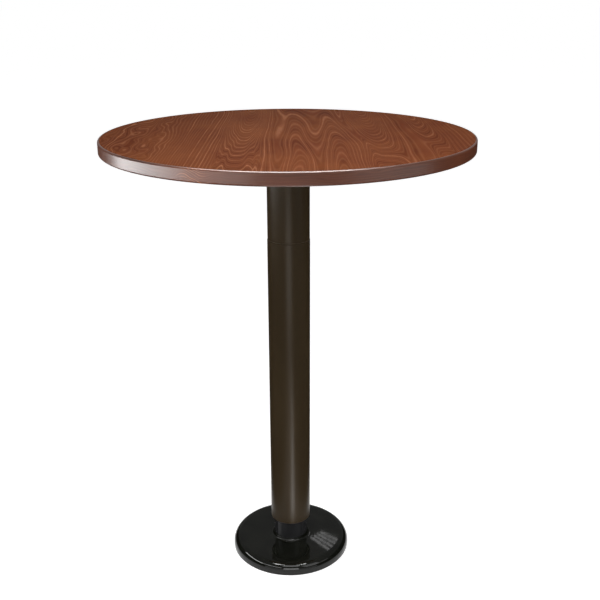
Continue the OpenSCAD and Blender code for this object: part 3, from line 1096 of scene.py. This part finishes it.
def weld_corners(leg):
    """The corners of the bead's section, whose face bulges between its two legs."""
    corners = [(0.0, 0.0)]
    for step in range(WELD_FACE_STEPS + 1):
        share = 1 - step / WELD_FACE_STEPS
        bulge = WELD_FULLNESS * math.sin(math.pi * share)
        outwards = times(leg, 1 - share + bulge)
        downwards = times(leg, -share - bulge)
        corners.append((outwards, downwards))
    return corners


def make_weld():
    """A rippled bead in the corner between the post and the plate."""
    tree, size = new_recipe("weld_bead", WELD_SIZES)
    x, y, _ = coordinates(geometry(tree, "InputPosition"))
    angle = maths("ARCTAN2", x, y)
    wave = maths("SINE", times(angle, size["Ripples"]))
    uneven = put(tree, "ShaderNodeTexNoise", WELD_NOISE).outputs["Fac"]
    dip = maths("MULTIPLY_ADD", wave, WELD_WAVE, uneven)
    swell = minus(1.0, times(dip, size["Ripple Share"]))
    section = closed_line(tree, weld_corners(size["Leg"]))
    steps = size["Steps Round"]
    bead = turned(tree, section, size["Post Radius"], size["Plate Top"], steps, swell)
    return run_recipe(tree, WELD_SIZES, bead, bare_steel)


stand_for("weld_bead_rippled", make_weld(), "table", "bare_steel", "post_weld")

# %% [markdown]
# ## Turning from a grid
#
# A screw can't be swept from one section, because its thread climbs and its socket has six sides.
# It can be turned from a flat grid: one side of the grid becomes the angle, and the other runs
# along the piece. The radius may depend on both, and that makes the thread and the socket. Rolling
# the grid up closes it, and its seam and its ends are merged.

# %% Turning from a grid
SEAM_GAP = 0.000001


def grid_to_turn(tree, rows, sectors):
    """A grid with its row number and its angle, to be set in place by a radius and a height."""
    columns = plus(sectors, 1.0)
    inputs = {"Size X": 1.0, "Size Y": 1.0, "Vertices X": rows, "Vertices Y": columns}
    grid = geometry(tree, "MeshGrid", inputs)
    x, y, _ = coordinates(geometry(tree, "InputPosition"))
    share = plus(x, 0.5)
    row = maths("ROUND", minus(times(share, rows), share))
    angle = times(plus(y, 0.5), 2 * math.pi)
    return grid, row, angle


def wrap(tree, grid, angle, radius, height):
    """Rolls the grid round the Z axis, and closes its seam and its ends."""
    x = times(radius, maths("COSINE", angle))
    y = times(radius, maths("SINE", angle))
    rolled = {"Geometry": grid, "Position": place_at(tree, x, y, height)}
    skin = geometry(tree, "SetPosition", rolled)
    closed = {"Geometry": skin, "Distance": SEAM_GAP}
    skin = geometry(tree, "MergeByDistance", closed)
    return geometry(tree, "FlipFaces", {"Mesh": skin})


def join(*shapes):
    """Several shapes as one."""
    node = put(tree_of(*shapes), "GeometryNodeJoinGeometry")
    for shape in shapes:
        feed(node.inputs[0], shape)
    return node.outputs[0]


print("grid helpers are ready")

# %% [markdown]
# ## The thread
#
# A thread is a ridge that climbs by one pitch for each turn. The height less the angle, both
# counted in turns, is whole along the ridge, and a sawtooth of it gives the flanks. The first and
# the last row of the grid close the ends, and near them the radius is cut down to the core, as a
# chamfer does.

# %% Thread
ROWS_PER_TURN = 8.0
THREAD_DEPTH = 0.6


def threaded_bar(tree, size, low, length):
    """A bar with a thread, chamfered at both ends."""
    pitch = size["Pitch"]
    turn_count = maths("DIVIDE", length, pitch)
    rows = maths("ROUND", times(turn_count, ROWS_PER_TURN))
    grid, row, angle = grid_to_turn(tree, rows, size["Sectors"])
    last = minus(rows, 1.0)
    share = span(row, 1.0, minus(last, 1.0))
    along = times(share, length)
    angle_turns = maths("DIVIDE", angle, 2 * math.pi)
    turns = minus(maths("DIVIDE", along, pitch), angle_turns)
    flank = maths("PINGPONG", times(turns, 2.0), 1.0)
    depth = times(pitch, THREAD_DEPTH)
    thread = minus(size["Bar Radius"], times(flank, depth))
    to_end = maths("MINIMUM", along, minus(length, along))
    core = minus(size["Bar Radius"], depth)
    radius = maths("MINIMUM", thread, plus(core, to_end))
    past_first = maths("GREATER_THAN", row, 0.5)
    before_last = maths("LESS_THAN", row, minus(last, 0.5))
    radius = times(radius, times(past_first, before_last))
    return wrap(tree, grid, angle, radius, plus(along, low))


print("a thread is", THREAD_DEPTH, "of its pitch deep")

# %% [markdown]
# ## The screws
#
# Eight button-head screws hold the top to the spider. Dividing a radius by a cosine that repeats
# six times gives the hexagon socket, and a few rows along an arc give the crown of the head. One
# screw is made, and instances of it stand on two circles of four points, two at each arm.

# %% Screws
SCREW_SIZES = {
    "Head Radius": mm(5.52), "Head Height": mm(3.3), "Socket Width": mm(4.02),
    "Socket Depth": mm(1.98), "Bar Radius": mm(3.0), "Bar Length": mm(18.0),
    "Pitch": mm(1.0), "Seat Height": mm(742.3), "Inner Circle": mm(98.0),
    "Outer Circle": mm(150.0), "Sectors": 36,
}
CROWN_STEPS = 7
CROWN_START = math.radians(80)
ARM_COUNT = 4


def screw_head(tree, size):
    """A button head with a hexagon socket, hanging below height 0."""
    half_socket = times(size["Socket Width"], 0.5)
    face = times(size["Head Height"], -1.0)
    floor = plus(face, size["Socket Depth"])
    centre = minus(size["Head Radius"], size["Head Height"])
    rows = [(0.0, floor, 0.0), (half_socket, floor, 1.0), (half_socket, face, 1.0)]
    for step in range(CROWN_STEPS + 1):
        turn = CROWN_START * (1 - step / CROWN_STEPS)
        out = maths("MULTIPLY_ADD", size["Head Height"], math.cos(turn), centre)
        down = times(face, math.sin(turn))
        rows.append((out, down, 0.0))
    rows.append((0.0, 0.0, 0.0))
    grid, row, angle = grid_to_turn(tree, len(rows), size["Sectors"])
    sixth = minus(maths("MODULO", angle, math.pi / 3), math.pi / 6)
    corner = maths("DIVIDE", 1.0, maths("COSINE", sixth))
    hexagon = pick("FLOAT", row, [share for _, _, share in rows])
    shape = maths("MULTIPLY_ADD", minus(corner, 1.0), hexagon, 1.0)
    radius = times(pick("FLOAT", row, [out for out, _, _ in rows]), shape)
    return wrap(tree, grid, angle, radius, pick("FLOAT", row, [down for _, down, _ in rows]))


def make_screws():
    """Eight screws, one at each point of two circles."""
    tree, size = new_recipe("spider_screw_set", SCREW_SIZES)
    screw = join(screw_head(tree, size), threaded_bar(tree, size, 0.0, size["Bar Length"]))
    rings = []
    for circle in ("Inner Circle", "Outer Circle"):
        ring = {"Vertices": ARM_COUNT, "Radius": size[circle]}
        rings.append(geometry(tree, "MeshCircle", ring))
    seats = {
        "Geometry": join(*rings),
        "Translation": place_at(tree, z=size["Seat Height"]),
        "Rotation": (0.0, 0.0, math.pi / 4),
    }
    points = geometry(tree, "Transform", seats)
    screws = geometry(tree, "InstanceOnPoints", {"Points": points, "Instance": screw})
    return run_recipe(tree, SCREW_SIZES, screws, zinc)


stand_for("button_head_screws", make_screws(), "table", "zinc_steel", "spider_screws")

# %% [markdown]
# ## The tie rod
#
# One long rod clamps the column between the floor plate and the spider. Rolling a thread costs
# time, so such a rod is threaded only where its nuts go: two short threaded bars, and a cylinder
# between them.

# %% Threaded rod
ROD_SIZES = {
    "Bar Radius": mm(6.0), "Pitch": mm(1.75), "Foot": mm(6.0),
    "Top": mm(748.0), "Thread Length": mm(50.0), "Sectors": 48,
}


def make_rod():
    """A long rod that is plain in the middle and threaded at both ends."""
    tree, size = new_recipe("tie_rod_threaded", ROD_SIZES)
    low_thread = threaded_bar(tree, size, size["Foot"], size["Thread Length"])
    high_start = minus(size["Top"], size["Thread Length"])
    high_thread = threaded_bar(tree, size, high_start, size["Thread Length"])
    low_end = plus(size["Foot"], size["Thread Length"])
    plain_length = minus(high_start, low_end)
    cylinder = {"Vertices": size["Sectors"], "Radius": size["Bar Radius"], "Depth": plain_length}
    plain = geometry(tree, "MeshCylinder", cylinder)
    plain = lifted(tree, plain, maths("MULTIPLY_ADD", plain_length, 0.5, low_end))
    return run_recipe(tree, ROD_SIZES, join(low_thread, plain, high_thread), zinc)


stand_for("tie_rod_threaded", make_rod(), "table", "zinc_steel", "tie_rod")

# %% [markdown]
# ## The cast spider
#
# The spider is poured in a sand mould. Iron shrinks away from sharp corners, so every edge of a
# casting is a little round, and the sand leaves its grain on the skin. The construction has the
# exact ribs and bosses with crisp edges, so a copy of it is rebuilt as one even skin of small
# cells and then smoothed, which rounds every edge by about a millimetre, outside and inside. The
# same could be done by a bevel, but bevels fail where many curved faces meet at one corner.

# %% Cast spider
CASTING_CELL = mm(1.4)
CASTING_SMOOTHING = 4


def make_casting():
    """The spider's own shape with softened edges."""
    source = nodes["spider"]
    mesh = source.data.copy()
    mesh.transform(source.matrix_world)
    whole = bmesh.new()
    whole.from_mesh(mesh)
    bmesh.ops.remove_doubles(whole, verts=whole.verts, dist=SEAM_GAP)
    whole.to_mesh(mesh)
    whole.free()
    holder = add_object("casting_recipe", mesh)
    skin = holder.modifiers.new("even_skin", "REMESH")
    skin.mode = "VOXEL"
    skin.voxel_size = CASTING_CELL
    skin.use_smooth_shade = True
    soften = holder.modifiers.new("soft_edges", "SMOOTH")
    soften.factor = 0.5
    soften.iterations = CASTING_SMOOTHING
    casting = evaluated_mesh(holder)
    casting.materials.clear()
    casting.materials.append(cast_paint)
    return casting


stand_for("spider_casting", make_casting(), "table", "spider_iron", "spider")
